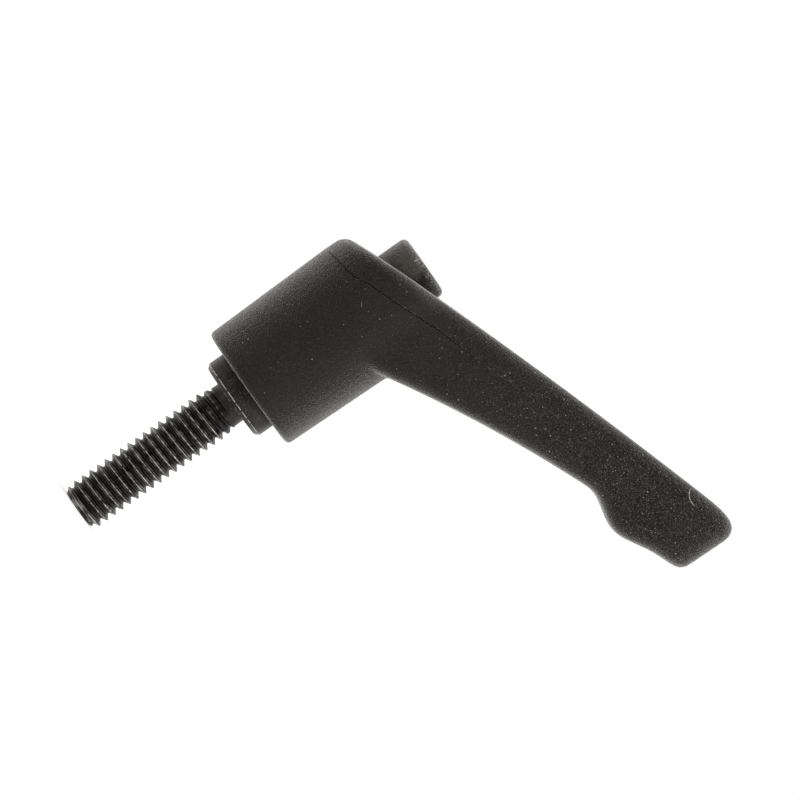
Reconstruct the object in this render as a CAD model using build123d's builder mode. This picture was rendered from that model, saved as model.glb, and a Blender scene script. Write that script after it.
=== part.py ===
"""Adjustable clamping lever with a push button and a male thread.

The frame: +Z runs up the stud to the button, +X points along the arm, and the origin
is the centre of the collar's lower face, where the lever clamps. All sizes are in mm.

A toothed steel insert carries the thread. The handle's hub has matching inner teeth,
and a spring under the head of a shoulder screw keeps the two in mesh. Lifting the
handle out of mesh lets it swivel freely, while the button bears on the screw's head.
"""

import os
from math import cos, radians, sin, sqrt, tan

from build123d import *

# Thread and neck of the stud: 5/16-18 UNC
thread_radius = 3.95
stud_length = 28.2
stud_end_chamfer = 0.75
neck_radius = 3.35
neck_length = 2.4

# Collar that clamps on the work
collar_radius = 6.6
collar_height = 4.2
collar_chamfer = 0.6

# Serration between insert and handle
tooth_count = 24
tooth_root_radius = 5.5
tooth_tip_radius = 6.2
tooth_root_width = 0.95
tooth_tip_width = 0.5
tooth_clearance = 0.12
insert_top = 9.2
lift_travel = 4.4

# Shoulder screw
screw_thread_radius = 2.0
screw_thread_length = 7.5
screw_thread_fit = 0.02
screw_hole_spare_depth = 0.8
shoulder_radius = 2.8
shoulder_fit = 0.06
screw_head_radius = 4.0
screw_head_height = 3.5
screw_head_underside = 25.5
screw_chamfer = 0.4
hex_socket_width = 3.0
hex_socket_depth = 2.2

# Web across the hub, washer and spring
web_thickness = 2.4
washer_thickness = 0.8
washer_outer_radius = 4.5
inner_clearance = 0.3
spring_wire_radius = 0.4
spring_mean_radius = 3.55
spring_coils = 5.5
spring_chamber_radius = 4.8

# Push button
button_radius = 5.15
button_top = 35.8
button_fit = 0.08
button_edge_radius = 0.9
button_skirt_wall = 0.75
button_core_radius = 3.0
button_cap_thickness = 1.7
bead_width = 0.3
bead_height = 1.2
lip_underside = 26.0
bead_play = 0.3
skirt_slots = 3
skirt_slot_width = 2.4
skirt_slot_height = 4.2

# Hub of the handle
hub_bottom = 3.2
hub_bottom_radius = 10.2
hub_corner_radius = 0.8
draft_angle = 1.25

# Sloped top: a long arc from the back of the hub, and a short one over the tip
top_height = 32.55
top_angle = 20.3
top_arc_radius = 860.0
nose_length = 6.0
nose_rise = 0.35
top_edge_radius = 2.3

# Arm, seen from the side: its root, then its underside as (station along X, depth below the top)
reach = 60.0
root_station = 4.0
root_radius = 10.0
underside_start = (11.6, 14.8)
underside_middle = (reach - 34.0, 12.0)
underside_end = (reach - 21.4, 10.4)
recess_corner = (reach - 17.3, 10.0)
recess_radius = 4.1
bulge_corner = (reach - 10.7, 13.55)
bulge_radius = 5.6
toe_corner = (reach - 5.1, 11.98)
toe_radius = 12.0
toe_slope = 0.39
lower_edge_radius = 2.1

# Arm, seen from above: full width at its height, and station along X
root_width = 18.0
root_height = 25.0
waist_width = 10.8
waist_height = 40.0
waist_station = reach - 27.0
toe_width = 13.6
toe_height = 46.0
toe_station = reach - 7.0
tip_width = 12.4
blend_radius = 6.0
toe_side_radius = 12.0
tip_corner_radius = 2.8
end_face_height = 48.0

# Places worked out from the sizes above
tooth_start = insert_top - lift_travel + tooth_clearance
web_top = insert_top + web_thickness
spring_bottom = web_top + washer_thickness
spring_length = screw_head_underside - spring_bottom
screw_head_top = screw_head_underside + screw_head_height
skirt_inner_radius = button_radius - button_skirt_wall
bead_radius = button_radius + bead_width
bead_top = lip_underside - bead_play
bead_bottom = bead_top - bead_height
relief_radius = bead_radius + inner_clearance
relief_bottom = bead_bottom - lift_travel - inner_clearance
block_top = button_top + reach / 3
block_half_width = 2 * hub_bottom_radius
nose_station = reach - nose_length
past_tip = reach + top_edge_radius


def top_surface(station):
    """Point of the handle's sloped top at a station, as seen from the side."""
    centre_x = top_arc_radius * sin(radians(top_angle))
    centre_z = top_height - top_arc_radius * cos(radians(top_angle))
    return (station, centre_z + sqrt(top_arc_radius**2 - (station - centre_x) ** 2))


def underside(turn):
    """Point of the arm's underside from its station and its depth below the top."""
    station, depth = turn
    return (station, top_surface(station)[1] - depth)


def at_hub_bottom(size, height):
    """A size from the stud's axis, taken down the draft from its height to the hub's bottom."""
    return size - (height - hub_bottom) * tan(radians(draft_angle))


def tooth_ring(root_radius, tip_radius, root_tooth_width, tip_tooth_width):
    """Round core with evenly spaced trapezoid teeth, as a flat face."""
    foot = root_radius - (tip_radius - root_radius)
    with BuildSketch() as ring:
        Circle(root_radius)
        with PolarLocations(0, tooth_count):
            Polygon(
                (foot, -root_tooth_width / 2),
                (root_radius, -root_tooth_width / 2),
                (tip_radius, -tip_tooth_width / 2),
                (tip_radius, tip_tooth_width / 2),
                (root_radius, root_tooth_width / 2),
                (foot, root_tooth_width / 2),
                align=None,
            )
    return ring.sketch


def write(part, name):
    """Label a finished piece and write its STEP file."""
    part.label = name
    export_step(part, f"parts/{name}.step")


os.makedirs("parts", exist_ok=True)

# Insert: turned in one piece, with the thread below and the serrated head on top
with BuildPart() as threaded_stud:
    with BuildSketch(Plane.XZ):
        with BuildLine():
            Polyline(
                (0, -stud_length),
                (thread_radius - stud_end_chamfer, -stud_length),
                (thread_radius, -stud_length + stud_end_chamfer),
                (thread_radius, -neck_length),
                (neck_radius, -neck_length),
                (neck_radius, 0),
                (collar_radius - collar_chamfer, 0),
                (collar_radius, collar_chamfer),
                (collar_radius, collar_height),
                (0, collar_height),
                close=True,
            )
        make_face()
    revolve(axis=Axis.Z)
    with BuildSketch(Plane.XY.offset(collar_height)):
        add(tooth_ring(tooth_root_radius, tooth_tip_radius, tooth_root_width, tooth_tip_width))
    extrude(amount=insert_top - collar_height)
    with Locations((0, 0, insert_top)):
        Hole(screw_thread_radius + screw_thread_fit, depth=screw_thread_length + screw_hole_spare_depth)
write(threaded_stud.part, "threaded_stud")

# Shoulder screw: its shoulder stands on the insert, guides the handle and carries the head
with BuildPart() as retaining_screw:
    with BuildSketch(Plane.XY.offset(insert_top - screw_thread_length)):
        Circle(screw_thread_radius)
    extrude(amount=screw_thread_length)
    with BuildSketch(Plane.XY.offset(insert_top)):
        Circle(shoulder_radius)
    extrude(amount=screw_head_underside - insert_top)
    with BuildSketch(Plane.XY.offset(screw_head_underside)):
        Circle(screw_head_radius)
    extrude(amount=screw_head_height)
    chamfer(retaining_screw.faces().sort_by(Axis.Z)[0].edges(), screw_chamfer)
    chamfer(retaining_screw.faces().sort_by(Axis.Z)[-1].edges(), screw_chamfer)
    with BuildSketch(Plane.XY.offset(screw_head_top)):
        RegularPolygon(hex_socket_width / 2, 6, major_radius=False)
    extrude(amount=-hex_socket_depth, mode=Mode.SUBTRACT)
write(retaining_screw.part, "retaining_screw")

# Washer on the hub's web, which the spring turns on
with BuildPart() as thrust_washer:
    with BuildSketch(Plane.XY.offset(web_top)):
        Circle(washer_outer_radius)
        Circle(shoulder_radius + inner_clearance, mode=Mode.SUBTRACT)
    extrude(amount=washer_thickness)
write(thrust_washer.part, "thrust_washer")

# Compression spring between washer and screw head, its ends ground flat
with BuildPart() as compression_spring:
    with BuildLine() as coil:
        Helix(
            pitch=spring_length / spring_coils,
            height=spring_length,
            radius=spring_mean_radius,
            center=(0, 0, spring_bottom),
        )
    with BuildSketch(Plane(origin=coil.line @ 0, z_dir=coil.line % 0)):
        Circle(spring_wire_radius)
    sweep(path=coil.line, is_frenet=True)
    with Locations((0, 0, spring_bottom)):
        Cylinder(
            spring_mean_radius + 2 * spring_wire_radius,
            spring_length,
            align=(Align.CENTER, Align.CENTER, Align.MIN),
            mode=Mode.INTERSECT,
        )
write(compression_spring.part, "compression_spring")

# Push button: a cap whose inner rim rests on the screw's head, with a snap bead below
with BuildPart() as push_button:
    with BuildSketch(Plane.XZ):
        with BuildLine():
            Polyline(
                (0, button_top),
                (button_radius, button_top),
                (button_radius, bead_top),
                (bead_radius, bead_top - bead_width),
                (bead_radius, bead_bottom + bead_width),
                (button_radius, bead_bottom),
                (skirt_inner_radius, bead_bottom),
                (skirt_inner_radius, screw_head_top),
                (button_core_radius, screw_head_top),
                (button_core_radius, button_top - button_cap_thickness),
                (0, button_top - button_cap_thickness),
                close=True,
            )
        make_face()
    revolve(axis=Axis.Z)
    fillet(push_button.faces().sort_by(Axis.Z)[-1].edges(), button_edge_radius)
    # Slots that let the skirt give while the bead snaps under the lip
    with BuildSketch(Plane.XY.offset(bead_bottom)):
        with PolarLocations(bead_radius, skirt_slots):
            Rectangle(bead_radius, skirt_slot_width)
    extrude(amount=skirt_slot_height, mode=Mode.SUBTRACT)
write(push_button.part, "push_button")

# Handle: hub and arm in one moulding
with BuildPart() as lever_handle:
    # Outline seen from above, drafted so that it widens upwards
    with BuildSketch(Plane.XY.offset(hub_bottom)) as outline:
        outline_reach = at_hub_bottom(reach, end_face_height)
        Circle(hub_bottom_radius)
        with BuildLine():
            flank = ThreePointArc(
                (root_station, at_hub_bottom(root_width / 2, root_height)),
                (waist_station, at_hub_bottom(waist_width / 2, waist_height)),
                (toe_station, at_hub_bottom(toe_width / 2, toe_height)),
            )
            toe = Line(flank @ 1, (outline_reach, at_hub_bottom(tip_width / 2, toe_height)))
            Line(toe @ 1, (outline_reach, 0))
            Line(flank @ 0, (root_station, 0))
            mirror(about=Plane.XZ)
        make_face()
        for low, high, radius in (
            (root_station, hub_bottom_radius, blend_radius),
            (waist_station, toe_station, toe_side_radius),
            (reach - tip_corner_radius, reach, tip_corner_radius),
        ):
            fillet(outline.vertices().filter_by_position(Axis.X, low, high), radius)
    extrude(amount=block_top - hub_bottom)
    walls = lever_handle.faces().filter_by(Axis.Z, reverse=True)
    draft(walls, Plane.XY.offset(hub_bottom), -draft_angle)

    # Clear what lies below the arm, with the finger recess and the bulge before the tip
    with BuildSketch(Plane.XZ):
        with BuildLine():
            under = ThreePointArc(
                underside(underside_start),
                underside(underside_middle),
                underside(underside_end),
            )
            start, heading = under @ 0, under % 0
            root_drop = (start.X - root_station) * heading.Y / heading.X
            root = FilletPolyline(
                start,
                (root_station, start.Y - root_drop),
                (root_station, hub_bottom),
                radius=root_radius,
            )
            toe_turn = underside(toe_corner)
            grip = FilletPolyline(
                under @ 1,
                underside(recess_corner),
                underside(bulge_corner),
                toe_turn,
                (past_tip, toe_turn[1] + (past_tip - toe_turn[0]) * toe_slope),
                radius=[recess_radius, bulge_radius, toe_radius],
            )
            Polyline(root @ 1, (past_tip, hub_bottom), grip @ 1)
        make_face()
    extrude(amount=block_half_width, both=True, mode=Mode.SUBTRACT)
    fillet(lever_handle.edges(Select.NEW), lower_edge_radius)

    # Hub: a drafted cone down to the clamping end
    with Locations((0, 0, hub_bottom)):
        Cone(
            hub_bottom_radius,
            hub_bottom_radius + (block_top - hub_bottom) * tan(radians(draft_angle)),
            block_top - hub_bottom,
            align=(Align.CENTER, Align.CENTER, Align.MIN),
        )

    # Sloped top
    with BuildSketch(Plane.XZ):
        with BuildLine():
            top = ThreePointArc(
                top_surface(-block_half_width),
                top_surface(nose_station / 2),
                top_surface(nose_station),
            )
            nose = TangentArc(top @ 1, (past_tip, (top @ 1).Y + nose_rise), tangent=top % 1)
            Polyline(nose @ 1, (past_tip, block_top), (-block_half_width, block_top), top @ 0)
        make_face()
    extrude(amount=block_half_width, both=True, mode=Mode.SUBTRACT)
    fillet(lever_handle.edges(Select.NEW), top_edge_radius)
    fillet(lever_handle.faces().sort_by(Axis.Z)[0].edges(), hub_corner_radius)

    # Stepped bore: collar, insert, web, spring, button skirt and the lip round the button
    with BuildSketch(Plane.XZ):
        with BuildLine():
            Polyline(
                (0, 0),
                (collar_radius + inner_clearance, 0),
                (collar_radius + inner_clearance, tooth_start),
                (tooth_root_radius + tooth_clearance, tooth_start),
                (tooth_root_radius + tooth_clearance, insert_top),
                (shoulder_radius + shoulder_fit, insert_top),
                (shoulder_radius + shoulder_fit, web_top),
                (spring_chamber_radius, web_top),
                (spring_chamber_radius, relief_bottom),
                (relief_radius, relief_bottom),
                (relief_radius, lip_underside),
                (button_radius + button_fit, lip_underside),
                (button_radius + button_fit, block_top),
                (0, block_top),
                close=True,
            )
        make_face()
    revolve(axis=Axis.Z, mode=Mode.SUBTRACT)
    with BuildSketch(Plane.XY.offset(tooth_start)):
        add(
            tooth_ring(
                tooth_root_radius + tooth_clearance,
                tooth_tip_radius + tooth_clearance,
                tooth_root_width + 2 * tooth_clearance,
                tooth_tip_width + 2 * tooth_clearance,
            )
        )
    extrude(amount=insert_top - tooth_start, mode=Mode.SUBTRACT)
write(lever_handle.part, "lever_handle")
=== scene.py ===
"""Adjustable clamping lever: a moulded handle on a threaded steel stud, with a push button.

+Z runs up the stud to the button, +X along the arm. Lengths are in metres.
"""

import math

import bmesh
import bpy
import numpy as np
from mathutils import Matrix, Vector


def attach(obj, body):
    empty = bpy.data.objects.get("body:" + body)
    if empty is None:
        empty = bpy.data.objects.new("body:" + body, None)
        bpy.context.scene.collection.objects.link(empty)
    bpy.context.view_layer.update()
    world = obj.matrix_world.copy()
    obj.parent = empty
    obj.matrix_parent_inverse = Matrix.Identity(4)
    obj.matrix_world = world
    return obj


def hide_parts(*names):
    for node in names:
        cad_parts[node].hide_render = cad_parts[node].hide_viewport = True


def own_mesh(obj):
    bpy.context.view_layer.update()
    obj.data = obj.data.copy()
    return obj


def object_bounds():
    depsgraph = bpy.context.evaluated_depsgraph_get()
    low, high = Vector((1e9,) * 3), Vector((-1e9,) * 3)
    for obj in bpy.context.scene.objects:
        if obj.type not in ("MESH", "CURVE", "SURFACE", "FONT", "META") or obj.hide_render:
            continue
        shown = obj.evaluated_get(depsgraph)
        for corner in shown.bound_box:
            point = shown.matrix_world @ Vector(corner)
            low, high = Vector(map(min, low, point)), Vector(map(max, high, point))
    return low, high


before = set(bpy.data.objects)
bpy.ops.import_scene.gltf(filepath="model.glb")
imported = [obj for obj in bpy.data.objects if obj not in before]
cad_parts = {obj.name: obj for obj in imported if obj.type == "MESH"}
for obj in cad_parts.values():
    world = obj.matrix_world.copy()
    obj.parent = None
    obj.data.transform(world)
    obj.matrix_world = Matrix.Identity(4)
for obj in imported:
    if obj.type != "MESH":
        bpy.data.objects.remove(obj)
cad_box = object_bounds()

MM = 0.001
UP = Vector((0, 0, 1))
TURNED_STEPS = 128

# Stud: thread form of 5/16-18 UNC, neck, collar and serrated head
STUD_END = -28.2 * MM
THREAD_RADIUS = 3.95 * MM
THREAD_ROOT_RADIUS = 3.12 * MM
THREAD_PITCH = 25.4 / 18 * MM
THREAD_START = -1.3 * MM
THREAD_TURNS = 23
THREAD_STEPS = 72
CREST_SHARE = 0.3
CREST_EASING = 0.06 * MM
ENVELOPE_SPARE = 0.1 * MM
RUN_OUT = 3.0 * MM
FIRST_CREST = 1.29 * MM
END_FLAT_RADIUS = 2.95 * MM
NECK_RADIUS = 3.35 * MM
COLLAR_RADIUS = 6.6 * MM
COLLAR_CHAMFER = 0.6 * MM
COLLAR_TOP = 4.2 * MM
COLLAR_ROUNDING = 0.09 * MM
TOOTH_COUNT = 24
TOOTH_ROOT_RADIUS = 5.5 * MM
TOOTH_TIP_RADIUS = 6.2 * MM
TOOTH_FOOT_RADIUS = TOOTH_ROOT_RADIUS - 0.5 * MM
TOOTH_TIP_HALF_WIDTH = 0.25 * MM
TOOTH_FOOT_HALF_WIDTH = 0.55 * MM
TOOTH_ROUNDING = 0.06 * MM
INSERT_TOP = 9.2 * MM
SCREW_HOLE_RADIUS = 2.02 * MM
SCREW_HOLE_DEPTH = 8.3 * MM

# Push button
BUTTON_RADIUS = 5.15 * MM
BUTTON_TOP = 35.8 * MM
BUTTON_EDGE = 0.9 * MM
BEAD_RADIUS = 5.45 * MM
BEAD_TOP = 25.7 * MM
BEAD_BOTTOM = 24.5 * MM
SKIRT_INNER_RADIUS = 4.4 * MM
CORE_RADIUS = 3.0 * MM
CORE_BOTTOM = 29.0 * MM
CORE_TOP = 34.1 * MM
BEAD_SLOPE = 0.3 * MM
SKIRT_SLOT_WIDTH = 2.4 * MM
SKIRT_SLOT_HEIGHT = 4.2 * MM

# Spring: its coils as (turns, rise of a turn in mm), the middle ones sharing what height is left
WIRE_RADIUS = 0.4 * MM
COIL_RADIUS = 3.55 * MM
SPRING_BOTTOM = 12.4 * MM
SPRING_TOP = 25.5 * MM
COILS = ((0.75, 0.9), (4.0, None), (0.75, 0.9))
COIL_STEPS = 48

# Handle: bore, mould seam as (station, height) in mm, and the draft of the upper mould half
BORE_RADIUS = 6.92 * MM
BORE_MIDDLE = 20 * MM
BORE_CEILING = 27 * MM
BORE_PLUG_SPARE = 6 * MM
BUTTON_HOLE_RADIUS = 5.23 * MM
HUB_BOTTOM = 3.2 * MM
HUB_HALF_WIDTH = 10.4 * MM
HUB_REACH = 9 * MM
ARM_HALF_WIDTH = 6.5 * MM
SKIN_GRAIN = 0.26 * MM
SMOOTHING = 0.5
SIDE_PASSES = 4
ARM_PASSES = 30
RIM_KEPT = 0.6 * MM
ARM_EASED_FROM = 10 * MM
ARM_EASED_FULLY = 16 * MM
SEAM = (
    (-11.0, 25.0), (-8.0, 25.35), (-5.6, 25.75), (-4.2, 26.15), (-1.7, 27.4), (0.5, 28.2),
    (4.4, 29.7), (8.9, 31.6), (12.2, 32.6), (20.7, 35.5), (29.3, 38.6), (36.7, 41.0),
    (40.7, 42.3), (48.5, 44.7), (51.6, 45.6), (60.5, 48.0),
)
TOP_SLOPE = math.radians(20.3)
UPPER_DRAFT = 2 * math.tan(math.radians(1.25))
DRAFTED_HEIGHT = 8

# The top's rounded rim: how far a normal leans towards the top's, at each end of the rim, and the
# distance from the axis in mm beyond which it counts
RIM_FROM, RIM_FULL_AFTER = 0.9, 0.05
RIM_TO, RIM_FADES_OVER = 0.998, 0.008
RIM_OUTSIDE = 6.5

# Studio: the camera's roll, the point it looks at and the width it takes in, and the lamps' target
VIEW_ROLL = math.radians(35.2)
VIEW_CENTRE = Vector((14.5, 0, 21.0)) * MM
VIEW_WIDTH = 120.8 * MM
LIT_POINT = Vector((0.02, 0, 0.02))
WHITE = (1.0, 1.0, 1.0, 1.0)


# ---------------------------------------------------------------- shader tools


class Value:
    """A number that varies over a surface: arithmetic on it adds Math nodes."""

    def __init__(self, finish, socket):
        self.finish = finish
        self.socket = socket

    def math(self, operation, *others):
        """A Math node of this value and others."""
        return self.finish.add("ShaderNodeMath", {"operation": operation}, dict(enumerate((self, *others))))

    def __add__(self, other):
        return self.math("ADD", other)

    def __sub__(self, other):
        return self.math("SUBTRACT", other)

    def __rsub__(self, other):
        return self.math("MULTIPLY", -1.0).math("ADD", other)

    def __mul__(self, other):
        return self.math("MULTIPLY", other)

    def __pow__(self, other):
        return self.math("POWER", other)

    def __abs__(self):
        return self.math("ABSOLUTE")

    __radd__ = __add__
    __rmul__ = __mul__

    def ramp(self, low, high, start=0.0, end=1.0):
        """A smooth step from start, where the value is low, to end, where it is high."""
        return self.finish.add(
            "ShaderNodeMapRange",
            {"interpolation_type": "SMOOTHSTEP"},
            {0: self, 1: low, 2: high, 3: start, 4: end},
        )


class Nodes:
    """The nodes of a material or of the world. Every node comes from add()."""

    def __init__(self, owner):
        owner.use_nodes = True
        self.owner = owner
        self.tree = owner.node_tree
        self.tree.nodes.clear()

    def add(self, kind, settings, inputs, output=0):
        """Makes a node, sets it, links or sets its inputs, and gives one of its outputs."""
        node = self.tree.nodes.new(kind)
        for name, setting in settings.items():
            setattr(node, name, setting)
        for name, value in inputs.items():
            if isinstance(value, Value):
                self.tree.links.new(value.socket, node.inputs[name])
            else:
                node.inputs[name].default_value = value
        return Value(self, node.outputs[output]) if len(node.outputs) else None

    def seen(self):
        """1 for what the camera sees directly, in a reflection or through glass."""
        camera, gloss, glass = (
            self.add("ShaderNodeLightPath", {}, {}, kind)
            for kind in ("Is Camera Ray", "Is Glossy Ray", "Is Transmission Ray")
        )
        return camera.math("MAXIMUM", gloss).math("MAXIMUM", glass)


class Finish(Nodes):
    """A material in the making, its patterns on Object coordinates."""

    def __init__(self, name):
        super().__init__(bpy.data.materials.new(name))
        self.place = self.add("ShaderNodeTexCoord", {}, {}, "Object")

    def noise(self, size, detail=2.0, roughness=0.5, vector=None):
        """Noise from 0 to 1 whose lumps are about this size."""
        return self.add(
            "ShaderNodeTexNoise",
            {},
            {"Vector": vector or self.place, "Scale": 1 / size, "Detail": detail, "Roughness": roughness},
        )

    def dots(self, size, radius, share):
        """Scattered dots of a radius, in a share of the cells of a size, each with its own brightness."""
        inputs = {"Vector": self.place, "Scale": 1 / size}
        distance = self.add("ShaderNodeTexVoronoi", {}, inputs, "Distance")
        chance = self.add("ShaderNodeTexVoronoi", {}, inputs, "Color")
        draw = self.add("ShaderNodeSeparateColor", {}, {0: chance}, "Red")
        bright = self.add("ShaderNodeSeparateColor", {}, {0: chance}, "Green")
        dot = distance.ramp(radius / size, 0.6 * radius / size)
        return dot * (draw + share).math("GREATER_THAN", 1.0) * bright.ramp(0.0, 1.0, 0.15, 1.0)

    def axes(self):
        """The three coordinates in millimetres."""
        parts = [self.add("ShaderNodeSeparateXYZ", {}, {0: self.place}, i) for i in range(3)]
        return [part * 1000.0 for part in parts]

    def stretched(self, scale):
        """Object coordinates scaled by axis, for patterns that run one way."""
        return self.add("ShaderNodeMapping", {}, {"Vector": self.place, "Scale": scale})

    def arc(self, across, up, centre, radius, width, sector):
        """Thin circular line in a plane, kept where its sector's two limits allow, in millimetres."""
        from_centre = ((across - centre[0]) ** 2 + (up - centre[1]) ** 2) ** 0.5
        line = abs(from_centre - radius).ramp(width, 0.4 * width)
        (low, high), ceiling = sector
        kept = across.ramp(low, low + 0.3) * across.ramp(high, high - 0.5) * up.ramp(ceiling, ceiling - 0.2)
        return line * kept

    def scratch(self, across, up, heading, middle, width, length):
        """Short straight line in a plane, in mm, from the cosine and sine of its heading and its middle."""
        cosine, sine = heading
        beside = abs(across * cosine + up * sine - middle[0])
        along = abs(up * cosine - across * sine - middle[1])
        return beside.ramp(*width) * along.ramp(*length)

    def attribute(self, name):
        """A number stored with the piece's mesh."""
        return self.add("ShaderNodeAttribute", {"attribute_name": name}, {}, "Fac")

    def blend(self, factor, first, second):
        """Mix of two colours."""
        return self.add("ShaderNodeMix", {"data_type": "RGBA"}, {0: factor, 6: first, 7: second}, 2)

    def bump(self, height, depth, under=None):
        """Normal of a relief of a depth, laid over another one if there is one under it."""
        inputs = {"Height": height, "Distance": depth, "Strength": 1.0}
        if under:
            inputs["Normal"] = under
        return self.add("ShaderNodeBump", {}, inputs)

    def shader(self, **inputs):
        """Principled shader. An underscore in an input's name stands for a space."""
        named = {name.replace("_", " "): value for name, value in inputs.items()}
        return self.add("ShaderNodeBsdfPrincipled", {}, named)

    def close(self, surface):
        """Puts a shader on the surface and gives the finished material."""
        self.add("ShaderNodeOutputMaterial", {}, {"Surface": surface})
        return self.owner


def colour(red, green, blue):
    """Opaque colour from linear parts."""
    return (red, green, blue, 1.0)


# ---------------------------------------------------------------- mesh tools


def object_from(bm, name):
    """A new object at the origin from a bmesh, which is freed."""
    mesh = bpy.data.meshes.new(name)
    bm.to_mesh(mesh)
    bm.free()
    piece = bpy.data.objects.new(name, mesh)
    bpy.context.scene.collection.objects.link(piece)
    return piece


def applied(piece):
    """Replaces a piece's mesh by the result of its modifiers."""
    graph = bpy.context.evaluated_depsgraph_get()
    graph.update()
    mesh = bpy.data.meshes.new_from_object(piece.evaluated_get(graph))
    piece.modifiers.clear()
    old = piece.data
    piece.data = mesh
    bpy.data.meshes.remove(old)
    return piece


def cut(piece, tool, operation):
    """Boolean of two pieces. The tool is removed."""
    modifier = piece.modifiers.new("cut", "BOOLEAN")
    modifier.operation = operation
    modifier.solver = "EXACT"
    modifier.object = tool
    applied(piece)
    bpy.data.objects.remove(tool)
    return piece


def polish(piece, angle, material):
    """Smooth shading up to a crease angle, and the piece's material."""
    piece.data.materials.clear()
    piece.data.materials.append(material)
    piece.data.shade_smooth()
    piece.data.set_sharp_from_angle(angle=math.radians(angle))
    return piece


def turned(profile):
    """A closed solid of revolution from (radius, height) points that begin and end on the axis."""
    bm = bmesh.new()
    chain = [bm.verts.new((radius, 0, height)) for radius, height in profile]
    edges = [bm.edges.new(pair) for pair in zip(chain, chain[1:])]
    bmesh.ops.spin(
        bm,
        geom=chain + edges,
        axis=UP,
        cent=(0, 0, 0),
        angle=2 * math.pi,
        steps=TURNED_STEPS,
        use_merge=True,
        use_normal_flip=False,
    )
    bmesh.ops.remove_doubles(bm, verts=bm.verts, dist=1e-7)
    bmesh.ops.recalc_face_normals(bm, faces=bm.faces)
    return bm


def trimmed(bm, low, high):
    """Cuts a coil flat at two heights, closes its ends and makes its faces agree."""
    for height, above in ((low, False), (high, True)):
        bmesh.ops.bisect_plane(
            bm,
            geom=bm.verts[:] + bm.edges[:] + bm.faces[:],
            plane_co=(0, 0, height),
            plane_no=UP,
            clear_outer=above,
            clear_inner=not above,
            dist=1e-8,
        )
    bmesh.ops.holes_fill(bm, edges=[edge for edge in bm.edges if edge.is_boundary], sides=0)
    bmesh.ops.recalc_face_normals(bm, faces=bm.faces)
    return bm


def soften(bm, width, angle=30, segments=2, test=None):
    """Bevels the edges that turn by more than an angle."""
    edges = [
        edge
        for edge in bm.edges
        if len(edge.link_faces) == 2
        and edge.calc_face_angle(0) > math.radians(angle)
        and (test is None or test(edge))
    ]
    bmesh.ops.bevel(
        bm,
        geom=edges,
        offset=width,
        offset_type="OFFSET",
        segments=segments,
        profile=0.5,
        affect="EDGES",
        material=-1,
        clamp_overlap=True,
    )
    return bm


# ---------------------------------------------------------------- pieces


def thread_rod():
    """Helical 60 degree thread, longer than the stud: it is cut to the stud's envelope."""
    flank = (THREAD_RADIUS - THREAD_ROOT_RADIUS) * math.tan(math.radians(30))
    crest = (THREAD_PITCH - 2 * flank) * CREST_SHARE
    root = THREAD_PITCH - 2 * flank - crest
    rise = CREST_EASING
    low = FIRST_CREST - root - flank - crest / 2 - THREAD_TURNS * THREAD_PITCH
    profile = [
        (THREAD_ROOT_RADIUS + rise, 0),
        (THREAD_ROOT_RADIUS, 0.3 * root),
        (THREAD_ROOT_RADIUS, 0.7 * root),
        (THREAD_ROOT_RADIUS + rise, root),
        (THREAD_RADIUS - rise, root + flank * 0.93),
        (THREAD_RADIUS, root + flank + 0.2 * crest),
        (THREAD_RADIUS, root + flank + 0.8 * crest),
        (THREAD_RADIUS - rise, root + flank * 1.07 + crest),
        (THREAD_ROOT_RADIUS + rise, THREAD_PITCH),
    ]
    bm = bmesh.new()
    chain = [bm.verts.new((radius, 0, low + height)) for radius, height in profile]
    edges = [bm.edges.new(pair) for pair in zip(chain, chain[1:])]
    bmesh.ops.spin(
        bm,
        geom=chain + edges,
        axis=UP,
        cent=(0, 0, 0),
        dvec=UP * THREAD_PITCH / THREAD_STEPS,
        angle=2 * math.pi * THREAD_TURNS,
        steps=THREAD_STEPS * THREAD_TURNS,
        use_duplicate=False,
    )
    bmesh.ops.remove_doubles(bm, verts=bm.verts, dist=2e-6)
    return object_from(trimmed(bm, STUD_END - 0.2 * MM, THREAD_START + 0.9 * MM), "thread_rod")


def stud_envelope():
    """Outside of the threaded length: end chamfer below and run-out at the neck."""
    outside = THREAD_RADIUS + ENVELOPE_SPARE
    return object_from(
        turned(
            [
                (0, STUD_END),
                (END_FLAT_RADIUS, STUD_END),
                (outside, STUD_END + outside - END_FLAT_RADIUS),
                (outside, THREAD_START - RUN_OUT),
                (NECK_RADIUS + 0.05 * MM, THREAD_START - 0.3 * MM),
                (NECK_RADIUS - 0.03 * MM, THREAD_START + 0.6 * MM),
                (0, THREAD_START + 0.6 * MM),
            ]
        ),
        "stud_envelope",
    )


def stud_head():
    """Neck, collar and the serrated core, with the hole for the shoulder screw."""
    bm = turned(
        [
            (0, THREAD_START),
            (NECK_RADIUS, THREAD_START),
            (NECK_RADIUS, 0),
            (COLLAR_RADIUS - COLLAR_CHAMFER, 0),
            (COLLAR_RADIUS, COLLAR_CHAMFER),
            (COLLAR_RADIUS, COLLAR_TOP),
            (TOOTH_ROOT_RADIUS, COLLAR_TOP),
            (TOOTH_ROOT_RADIUS, INSERT_TOP),
            (SCREW_HOLE_RADIUS, INSERT_TOP),
            (SCREW_HOLE_RADIUS, INSERT_TOP - SCREW_HOLE_DEPTH),
            (0, INSERT_TOP - SCREW_HOLE_DEPTH),
        ]
    )
    soften(bm, COLLAR_ROUNDING, angle=20, test=lambda edge: edge.verts[0].co.z > THREAD_START + 1e-6)
    return object_from(bm, "stud_head")


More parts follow.
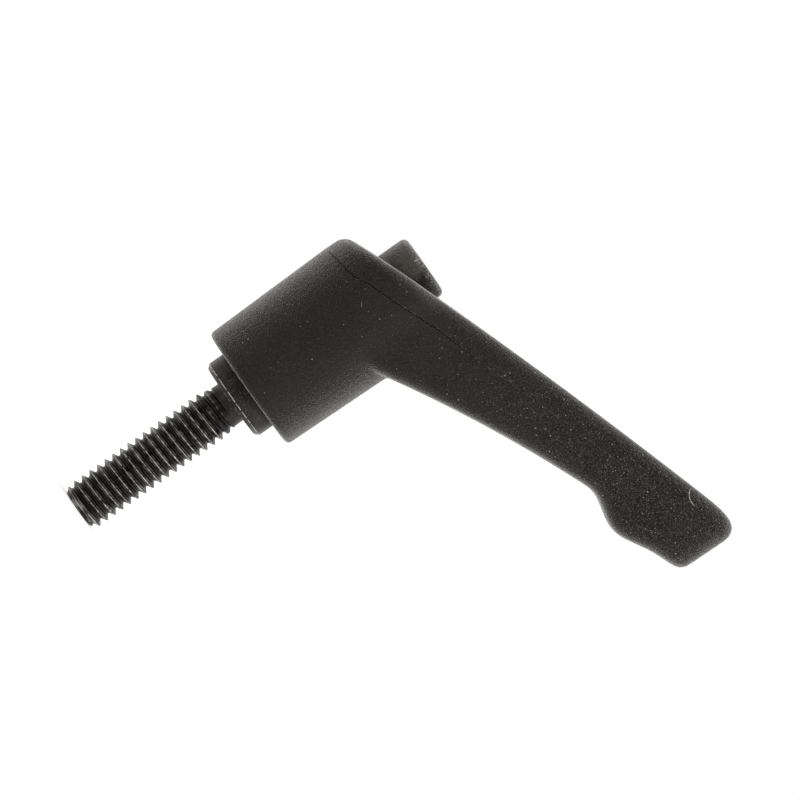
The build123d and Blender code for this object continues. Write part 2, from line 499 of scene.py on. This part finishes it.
def stud_teeth():
    """Ring of trapezoid teeth round the serrated core."""
    bm = bmesh.new()
    tooth = bmesh.ops.create_cube(bm, size=1)["verts"]
    for vert in tooth:
        tip = vert.co.x > 0
        half_width = TOOTH_TIP_HALF_WIDTH if tip else TOOTH_FOOT_HALF_WIDTH
        vert.co = (
            TOOTH_TIP_RADIUS if tip else TOOTH_FOOT_RADIUS,
            math.copysign(half_width, vert.co.y),
            (INSERT_TOP - 0.02 * MM) if vert.co.z > 0 else COLLAR_TOP - 0.2 * MM,
        )
    innermost = TOOTH_FOOT_RADIUS + 1e-5
    soften(bm, TOOTH_ROUNDING, test=lambda edge: min(v.co.x for v in edge.verts) > innermost)
    bmesh.ops.spin(
        bm,
        geom=bm.verts[:] + bm.edges[:] + bm.faces[:],
        axis=UP,
        cent=(0, 0, 0),
        angle=2 * math.pi * (TOOTH_COUNT - 1) / TOOTH_COUNT,
        steps=TOOTH_COUNT - 1,
        use_duplicate=True,
    )
    bmesh.ops.recalc_face_normals(bm, faces=bm.faces)
    return object_from(bm, "stud_teeth")


def make_stud(material):
    """Threaded stud, collar and serrated head in one turned piece."""
    stud = thread_rod()
    cut(stud, stud_envelope(), "INTERSECT")
    head = cut(stud_head(), stud_teeth(), "UNION")
    cut(stud, head, "UNION")
    stud.name = "stud_turned"
    return polish(stud, 35, material)


def make_button(material):
    """Round button, hollow from below, with a bead round its skirt and three slots in it."""
    bm = turned(
        [
            (0, BUTTON_TOP),
            (BUTTON_RADIUS, BUTTON_TOP),
            (BUTTON_RADIUS, BEAD_TOP),
            (BEAD_RADIUS, BEAD_TOP - BEAD_SLOPE),
            (BEAD_RADIUS, BEAD_BOTTOM + BEAD_SLOPE),
            (BUTTON_RADIUS, BEAD_BOTTOM),
            (SKIRT_INNER_RADIUS, BEAD_BOTTOM),
            (SKIRT_INNER_RADIUS, CORE_BOTTOM),
            (CORE_RADIUS, CORE_BOTTOM),
            (CORE_RADIUS, CORE_TOP),
            (0, CORE_TOP),
        ]
    )
    soften(bm, BUTTON_EDGE, segments=7, test=lambda edge: min(v.co.z for v in edge.verts) > BUTTON_TOP - 1e-6)
    button = object_from(bm, "button_moulded")
    slots = bmesh.new()
    slot = bmesh.ops.create_cube(slots, size=1)["verts"]
    bmesh.ops.scale(slots, vec=(BEAD_RADIUS, SKIRT_SLOT_WIDTH, 2 * SKIRT_SLOT_HEIGHT), verts=slot)
    bmesh.ops.translate(slots, vec=(BEAD_RADIUS, 0, BEAD_BOTTOM), verts=slot)
    bmesh.ops.spin(
        slots,
        geom=slots.verts[:] + slots.edges[:] + slots.faces[:],
        axis=UP,
        cent=(0, 0, 0),
        angle=math.pi * 4 / 3,
        steps=2,
        use_duplicate=True,
    )
    bmesh.ops.recalc_face_normals(slots, faces=slots.faces)
    cut(button, object_from(slots, "skirt_slots"), "DIFFERENCE")
    return polish(button, 35, material)


def make_spring(material):
    """Round wire with closed end coils, ground flat top and bottom."""
    height = SPRING_TOP - SPRING_BOTTOM
    closed = sum(turns * rise for turns, rise in COILS if rise) * MM
    bm = bmesh.new()
    ring = bmesh.ops.create_circle(bm, cap_ends=False, segments=16, radius=WIRE_RADIUS)["verts"]
    bmesh.ops.rotate(bm, verts=ring, cent=(0, 0, 0), matrix=Matrix.Rotation(math.pi / 2, 3, "X"))
    bmesh.ops.translate(bm, verts=ring, vec=(COIL_RADIUS, 0, SPRING_BOTTOM))
    last = bm.verts[:] + bm.edges[:]
    for turns, rise in COILS:
        pitch = rise * MM if rise else (height - closed) / turns
        last = bmesh.ops.spin(
            bm,
            geom=last,
            axis=UP,
            cent=(0, 0, 0),
            dvec=UP * pitch / COIL_STEPS,
            angle=2 * math.pi * turns,
            steps=int(COIL_STEPS * turns),
        )["geom_last"]
    return polish(object_from(trimmed(bm, SPRING_BOTTOM, SPRING_TOP), "spring_wire"), 40, material)


def seam_height(stations):
    """Height of the mould seam at each station, in millimetres."""
    return np.interp(stations, [x for x, _ in SEAM], [z for _, z in SEAM])


def is_bore(face):
    """Whether a face of the handle belongs to its bore rather than to its outside."""
    middle = face.calc_center_median()
    radius = math.hypot(middle.x, middle.y)
    inside = radius < BUTTON_HOLE_RADIUS + 0.01 * MM
    return inside or (radius < BORE_RADIUS and HUB_BOTTOM + 0.01 * MM < middle.z < BORE_CEILING)


def handle_copy():
    """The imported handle's mesh with its doubles merged."""
    bm = bmesh.new()
    bm.from_mesh(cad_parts["lever_handle"].data)
    bmesh.ops.remove_doubles(bm, verts=bm.verts, dist=1e-6)
    return bm


def places_of(piece):
    """Array of a piece's vertex places, in metres."""
    places = np.empty(len(piece.data.vertices) * 3)
    piece.data.vertices.foreach_get("co", places)
    return places.reshape(-1, 3)


def smooth_sides(skin):
    """Takes the remesh's unevenness off, except at the hub's lower rim, which stays crisp."""
    heights = places_of(skin)[:, 2]
    group = skin.vertex_groups.new(name="sides")
    group.add(np.nonzero(heights > HUB_BOTTOM + RIM_KEPT)[0].tolist(), 1.0, "REPLACE")
    smooth = skin.modifiers.new("smooth", "SMOOTH")
    smooth.vertex_group = group.name
    smooth.factor = SMOOTHING
    smooth.iterations = SIDE_PASSES
    return applied(skin)


def round_arm(skin):
    """Eases the arm's edges and its tip, with full effect from the second station outwards."""
    stations = places_of(skin)[:, 0]
    group = skin.vertex_groups.new(name="arm")
    levels = 8
    bands = np.clip((stations - ARM_EASED_FROM) / (ARM_EASED_FULLY - ARM_EASED_FROM) * levels, 0, levels)
    for level in range(1, levels + 1):
        members = np.nonzero(bands.astype(int) == level)[0]
        group.add(members.tolist(), level / levels, "REPLACE")
    ease = skin.modifiers.new("ease", "SMOOTH")
    ease.vertex_group = group.name
    ease.factor = SMOOTHING
    ease.iterations = ARM_PASSES
    return applied(skin)


def handle_skin():
    """The handle's outside, closed over its bore and remeshed evenly."""
    bm = handle_copy()
    bmesh.ops.delete(bm, geom=[face for face in bm.faces if is_bore(face)], context="FACES")
    bmesh.ops.holes_fill(bm, edges=[edge for edge in bm.edges if edge.is_boundary], sides=0)
    bmesh.ops.recalc_face_normals(bm, faces=bm.faces)
    skin = object_from(bm, "handle_moulded")
    remesh = skin.modifiers.new("even", "REMESH")
    remesh.mode = "VOXEL"
    remesh.voxel_size = SKIN_GRAIN
    remesh.use_smooth_shade = True
    return round_arm(smooth_sides(applied(skin)))


def handle_bore():
    """A closed plug of the handle's stepped and toothed bore, longer at both ends."""
    bm = handle_copy()
    bmesh.ops.delete(bm, geom=[face for face in bm.faces if not is_bore(face)], context="FACES")
    for up in (True, False):
        rim = [edge for edge in bm.edges if edge.is_boundary and (edge.verts[0].co.z > BORE_MIDDLE) == up]
        grown = bmesh.ops.extrude_edge_only(bm, edges=rim)["geom"]
        verts = [item for item in grown if isinstance(item, bmesh.types.BMVert)]
        bmesh.ops.translate(bm, verts=verts, vec=UP * (BORE_PLUG_SPARE if up else -BORE_PLUG_SPARE))
    bmesh.ops.holes_fill(bm, edges=[edge for edge in bm.edges if edge.is_boundary], sides=0)
    bmesh.ops.recalc_face_normals(bm, faces=bm.faces)
    return object_from(bm, "handle_bore")


def split_draft(skin):
    """Narrows the handle above the mould seam, as the upper mould half is drafted the other way."""
    places = places_of(skin)
    above = np.clip(places[:, 2] / MM - seam_height(places[:, 0] / MM), 0, DRAFTED_HEIGHT) * MM
    half_width = np.where(places[:, 0] < HUB_REACH, HUB_HALF_WIDTH, ARM_HALF_WIDTH)
    share = 1 - UPPER_DRAFT * above / half_width
    places[:, 1] *= share
    places[:, 0] = np.where(places[:, 0] < 0, places[:, 0] * share, places[:, 0])
    skin.data.vertices.foreach_set("co", places.ravel())
    skin.data.update()


def mark_handle(handle):
    """Stores, for the finish, the height above the mould seam in millimetres and the top's rounded rim."""
    places = places_of(handle) / MM
    normals = np.empty(places.size)
    handle.data.vertices.foreach_get("normal", normals)
    towards_top = normals.reshape(-1, 3) @ np.array((-math.sin(TOP_SLOPE), 0, math.cos(TOP_SLOPE)))
    rising = np.clip((towards_top - RIM_FROM) / RIM_FULL_AFTER, 0, 1)
    falling = np.clip((RIM_TO - towards_top) / RIM_FADES_OVER, 0, 1)
    top_rim = rising * falling * (np.hypot(places[:, 0], places[:, 1]) > RIM_OUTSIDE)
    above_seam = places[:, 2] - seam_height(places[:, 0])
    for name, values in (("above_seam", above_seam), ("top_rim", top_rim)):
        mark = handle.data.attributes.new(name, "FLOAT", "POINT")
        mark.data.foreach_set("value", values.astype(np.float32))


def make_handle(material):
    """Moulded handle: outside skin, then its bore cut through, then marked for its finish."""
    handle = handle_skin()
    split_draft(handle)
    cut(handle, handle_bore(), "DIFFERENCE")
    mark_handle(handle)
    return polish(handle, 40, material)


# ---------------------------------------------------------------- finishes


def handle_plastic():
    """Black glass-filled nylon from a spark-eroded mould, dusty from handling, with painted shade in its seam
    and painted highlights on its seam and edges.
    """
    finish = Finish("handle_plastic")
    x, y, z = finish.axes()
    grain = finish.noise(0.17 * MM, detail=1, roughness=0.6)
    texture = finish.noise(0.23 * MM, detail=2, roughness=0.6)
    patches = finish.noise(6 * MM, detail=3)
    from_seam = abs(finish.attribute("above_seam"))

    # Dust: scattered specks, more of them along the arm, and one short hair near the tip
    arm = x.ramp(6.0, 28.0)
    specks = finish.dots(1.0 * MM, 0.1 * MM, arm * 0.78 + 0.12)
    lint = finish.dots(0.5 * MM, 0.07 * MM, arm * 0.62 + 0.07)
    near_side = y.ramp(0.0, -1.0)
    frayed = finish.noise(0.3 * MM, detail=1).ramp(0.3, 0.5, 0.3, 1.0)
    hair = finish.arc(x, z, centre=(52.28, 49.87), radius=2.02, width=0.09, sector=((50.3, 53.0), 49.1))
    marks = specks.math("MAXIMUM", lint * 0.9).math("MAXIMUM", hair * near_side * frayed)

    # Scratch: a short nick in the hub's side
    nick = finish.scratch(x, z, (0.576, 0.817), (19.79, 14.44), width=(0.08, 0.02), length=(0.42, 0.3))
    near_nick = nick * near_side

    # Seam: a groove round the hub whose shade is painted dark, with a dark unlit shader mixed into it, and a
    # thin broken pale line along the arm that is a painted highlight standing in for a ridge along the seam
    broken = finish.noise(0.45 * MM, detail=2)
    gaps = (broken - x.ramp(-2.0, 0.5, 0.0, 0.06)).ramp(0.1, 0.36)
    seam_groove_painted_shade = from_seam.ramp(0.19, 0.08) * x.ramp(-10.4, -9.0) * x.ramp(18.0, 12.0) * gaps
    crumbs = (broken - x.ramp(9.0, 16.0, 0.1, 0.0)).ramp(0.53, 0.6)
    seam_painted_highlight = from_seam.ramp(0.12, 0.05) * x.ramp(-4.0, -1.0) * crumbs

    # Painted highlight: the grain's peaks painted pale round the hub's lower edge and along its top edge
    rim = abs(z - 3.35).ramp(0.12, 0.03) * grain.ramp(0.5, 0.62) * 0.3
    top_rim = finish.attribute("top_rim") * x.ramp(18.0, 8.0) * grain.ramp(0.3, 0.5)

    strength = x.ramp(2.0, 50.0, 0.2, 1.0)
    faded = patches.ramp(0.35, 0.65)
    plain = finish.blend(faded, colour(0.0082, 0.0057, 0.0038), colour(0.0115, 0.0084, 0.0059))
    mottled = finish.blend(grain.ramp(0.54, 0.67) * strength, plain, colour(0.092, 0.086, 0.076))
    pitted = finish.blend(grain.ramp(0.45, 0.35) * strength, mottled, colour(0.0015, 0.001, 0.0007))
    shadow = colour(0.002, 0.0016, 0.0012)
    shaded = finish.blend(seam_groove_painted_shade, pitted, shadow)
    lined = finish.blend(seam_painted_highlight * 0.4, shaded, colour(0.13, 0.12, 0.10))
    # Painted highlight on the hub's lower edge and its top edge
    edges_painted_highlight = finish.blend(rim.math("MAXIMUM", top_rim), lined, colour(0.34, 0.33, 0.31))
    scratched = finish.blend(near_nick * 0.6, edges_painted_highlight, colour(0.30, 0.28, 0.25))
    dusty = finish.blend(marks, scratched, colour(0.52, 0.50, 0.45))

    relief = finish.bump(texture, 0.27 * MM)
    relief = finish.bump(grain, 0.05 * MM, relief)
    relief = finish.bump(1 - seam_groove_painted_shade, 0.16 * MM, relief)
    moulded = finish.shader(
        Base_Color=dusty,
        Roughness=texture.ramp(0.25, 0.75, 0.34, 0.2),
        Specular_IOR_Level=0.2,
        Sheen_Weight=0.83,
        Sheen_Roughness=0.22,
        Sheen_Tint=colour(1.0, 0.975, 0.94),
        Normal=relief,
    )
    # Painted shade: a dark shader without sheen, mixed in along the seam's groove
    painted_groove_shade = finish.shader(Base_Color=shadow, Roughness=0.8, Specular_IOR_Level=0.0)
    return finish.close(finish.add("ShaderNodeMixShader", {}, {0: seam_groove_painted_shade * 0.45, 1: moulded, 2: painted_groove_shade}))


def button_plastic():
    """Smoother black nylon in hazy patches and lighter towards -X as painted light, with a painted highlight
    round its top edge, a few specks and a nick.
    """
    finish = Finish("button_plastic")
    x, y, z = finish.axes()
    grain = finish.noise(0.19 * MM, detail=1, roughness=0.6)
    haze = finish.noise(2.2 * MM, detail=3)
    dust = finish.dots(0.6 * MM, 0.08 * MM, 0.5)
    # Painted highlight: the top edge's rounding painted paler on the grain's peaks
    edge = z.ramp(34.4, 35.4) * (x * x + y * y).ramp(14.0, 19.0) * grain.ramp(0.48, 0.62)
    nick = finish.scratch(x, z, (0.985, -0.173), (-7.25, 34.37), width=(0.09, 0.03), length=(0.42, 0.32))
    near_nick = nick * y.ramp(0.0, -1.0)
    # Hazy patches, with painted light that lightens the -X side
    haze_and_painted_side_light = (haze + x * -0.04).ramp(0.3, 0.66)
    plain = finish.blend(haze_and_painted_side_light, colour(0.014, 0.0122, 0.0102), colour(0.086, 0.078, 0.068))
    mottled = finish.blend(grain.ramp(0.52, 0.66) * 0.35, plain, colour(0.13, 0.122, 0.108))
    pitted = finish.blend(grain.ramp(0.46, 0.36) * 0.5, mottled, colour(0.003, 0.0024, 0.002))
    edges_painted_highlight = finish.blend(edge, pitted, colour(0.24, 0.23, 0.205))
    dusty = finish.blend((dust * 0.7).math("MAXIMUM", near_nick), edges_painted_highlight, colour(0.55, 0.53, 0.49))
    relief = finish.bump(grain, 0.2 * MM)
    return finish.close(finish.shader(
        Base_Color=dusty,
        Roughness=haze.ramp(0.3, 0.7, 0.28, 0.42),
        Specular_IOR_Level=0.2,
        Sheen_Weight=0.9,
        Sheen_Roughness=0.25,
        Normal=relief,
    ))


def blackened_steel():
    """Turned and rolled steel with a black oxide coat, rubbed bright at its crests and edges, which also
    serves as their painted highlights.
    """
    finish = Finish("blackened_steel")
    x, y, z = finish.axes()
    radius = (x * x + y * y) ** 0.5
    lines = finish.noise(0.14 * MM, detail=2, vector=finish.stretched((0.25, 0.25, 2.6)))
    rings = finish.noise(0.3 * MM, detail=1, vector=finish.stretched((0.12, 0.12, 1.0)))
    pits = finish.noise(0.18 * MM, detail=1)
    knocks = finish.noise(0.55 * MM, detail=3)
    smears = finish.noise(1.1 * MM, detail=4, vector=finish.stretched((1.0, 1.0, 0.6)))
    specks = finish.dots(0.5 * MM, 0.07 * MM, 0.5)

    # Wear and painted highlight: bright metal where the thread's crests, its end and the collar's edges have
    # been knocked, painted also to stand in for their highlights
    threaded = z.ramp(-0.9, -1.5)
    crest = (radius + knocks * 0.3).ramp(4.03, 4.12) * threaded * pits.ramp(0.3, 0.55, 0.35, 1.0)
    fold = abs(radius - 3.58).ramp(0.1, 0.03) * smears.ramp(0.38, 0.55)
    flank = (radius.ramp(3.3, 3.6) * (smears + pits * 0.5).ramp(0.8, 0.92) + fold) * threaded
    turning = z.ramp(-26.9, -27.2) * radius.ramp(2.88, 3.0) * rings.ramp(0.5, 0.6) * 0.6
    face_edge = radius.ramp(5.88, 5.97) * abs(z).ramp(0.1, 0.03) * knocks.ramp(0.48, 0.6)
    from_chamfer = abs(z - 0.6 + pits * 0.1 - 0.05)
    side_edge = (radius + z).ramp(7.08, 7.16) * from_chamfer.ramp(0.09, 0.03) * knocks.ramp(0.38, 0.54)
    knock_wear_and_painted_highlight = (crest + flank * 0.35 + turning + face_edge * 0.5 + side_edge).math("MINIMUM", 1.0)

    faded = smears.ramp(0.35, 0.65)
    plain = finish.blend(faded, colour(0.0046, 0.0035, 0.0026), colour(0.0095, 0.0078, 0.0062))
    oxide = pits.ramp(0.5, 0.64) * smears.ramp(0.42, 0.62) * z.ramp(-1.4, -0.8)
    mottled = finish.blend(oxide * 0.5, plain, colour(0.075, 0.069, 0.059))
    edges_painted_highlight = finish.blend(knock_wear_and_painted_highlight, mottled, colour(0.46, 0.44, 0.41))
    dusty = finish.blend(specks * 0.7, edges_painted_highlight, colour(0.34, 0.32, 0.28))
    relief = finish.bump(lines, 0.01 * MM)
    relief = finish.bump(pits, 0.05 * MM, relief)
    return finish.close(finish.shader(
        Base_Color=dusty,
        Metallic=knock_wear_and_painted_highlight * 0.75,
        Roughness=lines.ramp(0.2, 0.8, 0.24, 0.42),
        Specular_IOR_Level=0.2,
        Normal=relief,
    ))


def bright_steel(name, tone, size):
    """Plated or drawn steel of the inner parts, with fine turning lines."""
    finish = Finish(name)
    lines = finish.noise(size, detail=2, vector=finish.stretched((0.3, 0.3, 2.4)))
    cloud = finish.noise(1.6 * MM, detail=3)
    light = tuple(min(1.0, part * 1.25) for part in tone)
    plate = finish.blend(cloud.ramp(0.35, 0.65), colour(*tone), colour(*light))
    return finish.close(finish.shader(
        Base_Color=plate,
        Metallic=1.0,
        Roughness=lines.ramp(0.25, 0.75, 0.24, 0.4),
        Normal=finish.bump(lines, 0.004 * MM),
    ))


def pale_floor():
    """White floor: its light towards the camera is topped up to white, and shadows stay."""
    finish = Finish("pale_floor")
    cloud = finish.noise(90 * MM, detail=2)
    tone = finish.blend(cloud.ramp(0.3, 0.7), colour(0.9, 0.9, 0.9), colour(0.92, 0.92, 0.915))
    matt = finish.add("ShaderNodeBsdfDiffuse", {}, {"Color": tone})
    white = finish.add("ShaderNodeEmission", {}, {"Color": WHITE, "Strength": 0.42})
    topped = finish.add("ShaderNodeAddShader", {}, {0: matt, 1: white})
    return finish.close(finish.add("ShaderNodeMixShader", {}, {0: finish.seen(), 1: matt, 2: topped}))


# ---------------------------------------------------------------- studio


def lay_floor(material):
    """Large flat floor at the stud's lower end."""
    bm = bmesh.new()
    bmesh.ops.create_grid(bm, x_segments=8, y_segments=8, size=4.0)
    bmesh.ops.translate(bm, verts=bm.verts, vec=(0, 0, cad_box[0][2]))
    floor = object_from(bm, "floor")
    floor.data.materials.append(material)


def light_world():
    """Even white surroundings: the backdrop shows white, and the room in front reflects darker."""
    world = bpy.data.worlds.new("studio")
    bpy.context.scene.world = world
    nodes = Nodes(world)
    across = {0: nodes.add("ShaderNodeTexCoord", {}, {}, "Generated"), 1: (0.4, 0.917, 0)}
    depth = nodes.add("ShaderNodeVectorMath", {"operation": "DOT_PRODUCT"}, across, "Value")
    room_light = depth.ramp(-1.1, 0.7, 0.15, 1.0)
    room, white, soft = (
        nodes.add("ShaderNodeBackground", {}, {"Color": tone, "Strength": strength})
        for tone, strength in ((WHITE, room_light), (WHITE, 1.0), (colour(1.0, 0.985, 0.96), 0.7))
    )
    camera = nodes.add("ShaderNodeLightPath", {}, {}, "Is Camera Ray")
    backdrop = nodes.add("ShaderNodeMixShader", {}, {0: camera, 1: room, 2: white})
    light = nodes.add("ShaderNodeMixShader", {}, {0: nodes.seen(), 1: soft, 2: backdrop})
    nodes.add("ShaderNodeOutputWorld", {}, {"Surface": light})


def add_lamp(name, place, size, power):
    """A round soft lamp at a place, turned to the object."""
    lamp = bpy.data.lights.new(name, "AREA")
    lamp.shape = "DISK"
    lamp.size = size
    lamp.energy = power
    holder = bpy.data.objects.new(name, lamp)
    holder.location = place
    holder.rotation_euler = (LIT_POINT - Vector(place)).to_track_quat("-Z", "Y").to_euler()
    bpy.context.scene.collection.objects.link(holder)


def place_camera():
    """Side view along +Y with a long lens, rolled so that the stud rises to the right."""
    right = Vector((math.sin(VIEW_ROLL), 0, math.cos(VIEW_ROLL)))
    upward = Vector((-math.cos(VIEW_ROLL), 0, math.sin(VIEW_ROLL)))
    back = Vector((0, -1, 0))
    camera = bpy.data.cameras.new("camera")
    camera.lens = 250
    camera.sensor_width = 36
    camera.clip_start = 0.01
    camera.clip_end = 50
    place = VIEW_CENTRE + back * VIEW_WIDTH * camera.lens / camera.sensor_width
    holder = bpy.data.objects.new("camera", camera)
    basis = Matrix((right, upward, back)).transposed().to_4x4()
    holder.matrix_world = Matrix.Translation(place) @ basis
    bpy.context.scene.collection.objects.link(holder)
    bpy.context.scene.camera = holder


# ---------------------------------------------------------------- assembly

handle = make_handle(handle_plastic())
stud = make_stud(blackened_steel())
button = make_button(button_plastic())
spring = make_spring(bright_steel("spring_steel", (0.42, 0.41, 0.40), 0.12 * MM))

for piece, body, node, slot in (
    (handle, "handle", "lever_handle", "handle_plastic"),
    (stud, "stud", "threaded_stud", "blackened_steel"),
    (button, "button", "push_button", "button_plastic"),
    (spring, "spring_seat", "compression_spring", "spring_steel"),
):
    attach(piece, body)
    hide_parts(node)
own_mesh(spring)

for node, material in (
    ("retaining_screw", bright_steel("screw_steel", (0.34, 0.34, 0.35), 0.1 * MM)),
    ("thrust_washer", bright_steel("washer_steel", (0.45, 0.45, 0.46), 0.15 * MM)),
):
    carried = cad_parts[node]
    carried.data.materials.clear()
    carried.data.materials.append(material)

lay_floor(pale_floor())
light_world()
bpy.context.scene.view_settings.view_transform = "Standard"
add_lamp("overhead_softbox", (0.1, 0.15, 0.9), size=0.6, power=4.0)
add_lamp("side_softbox", (0.86, -0.34, 0.08), size=0.7, power=3.5)
place_camera()
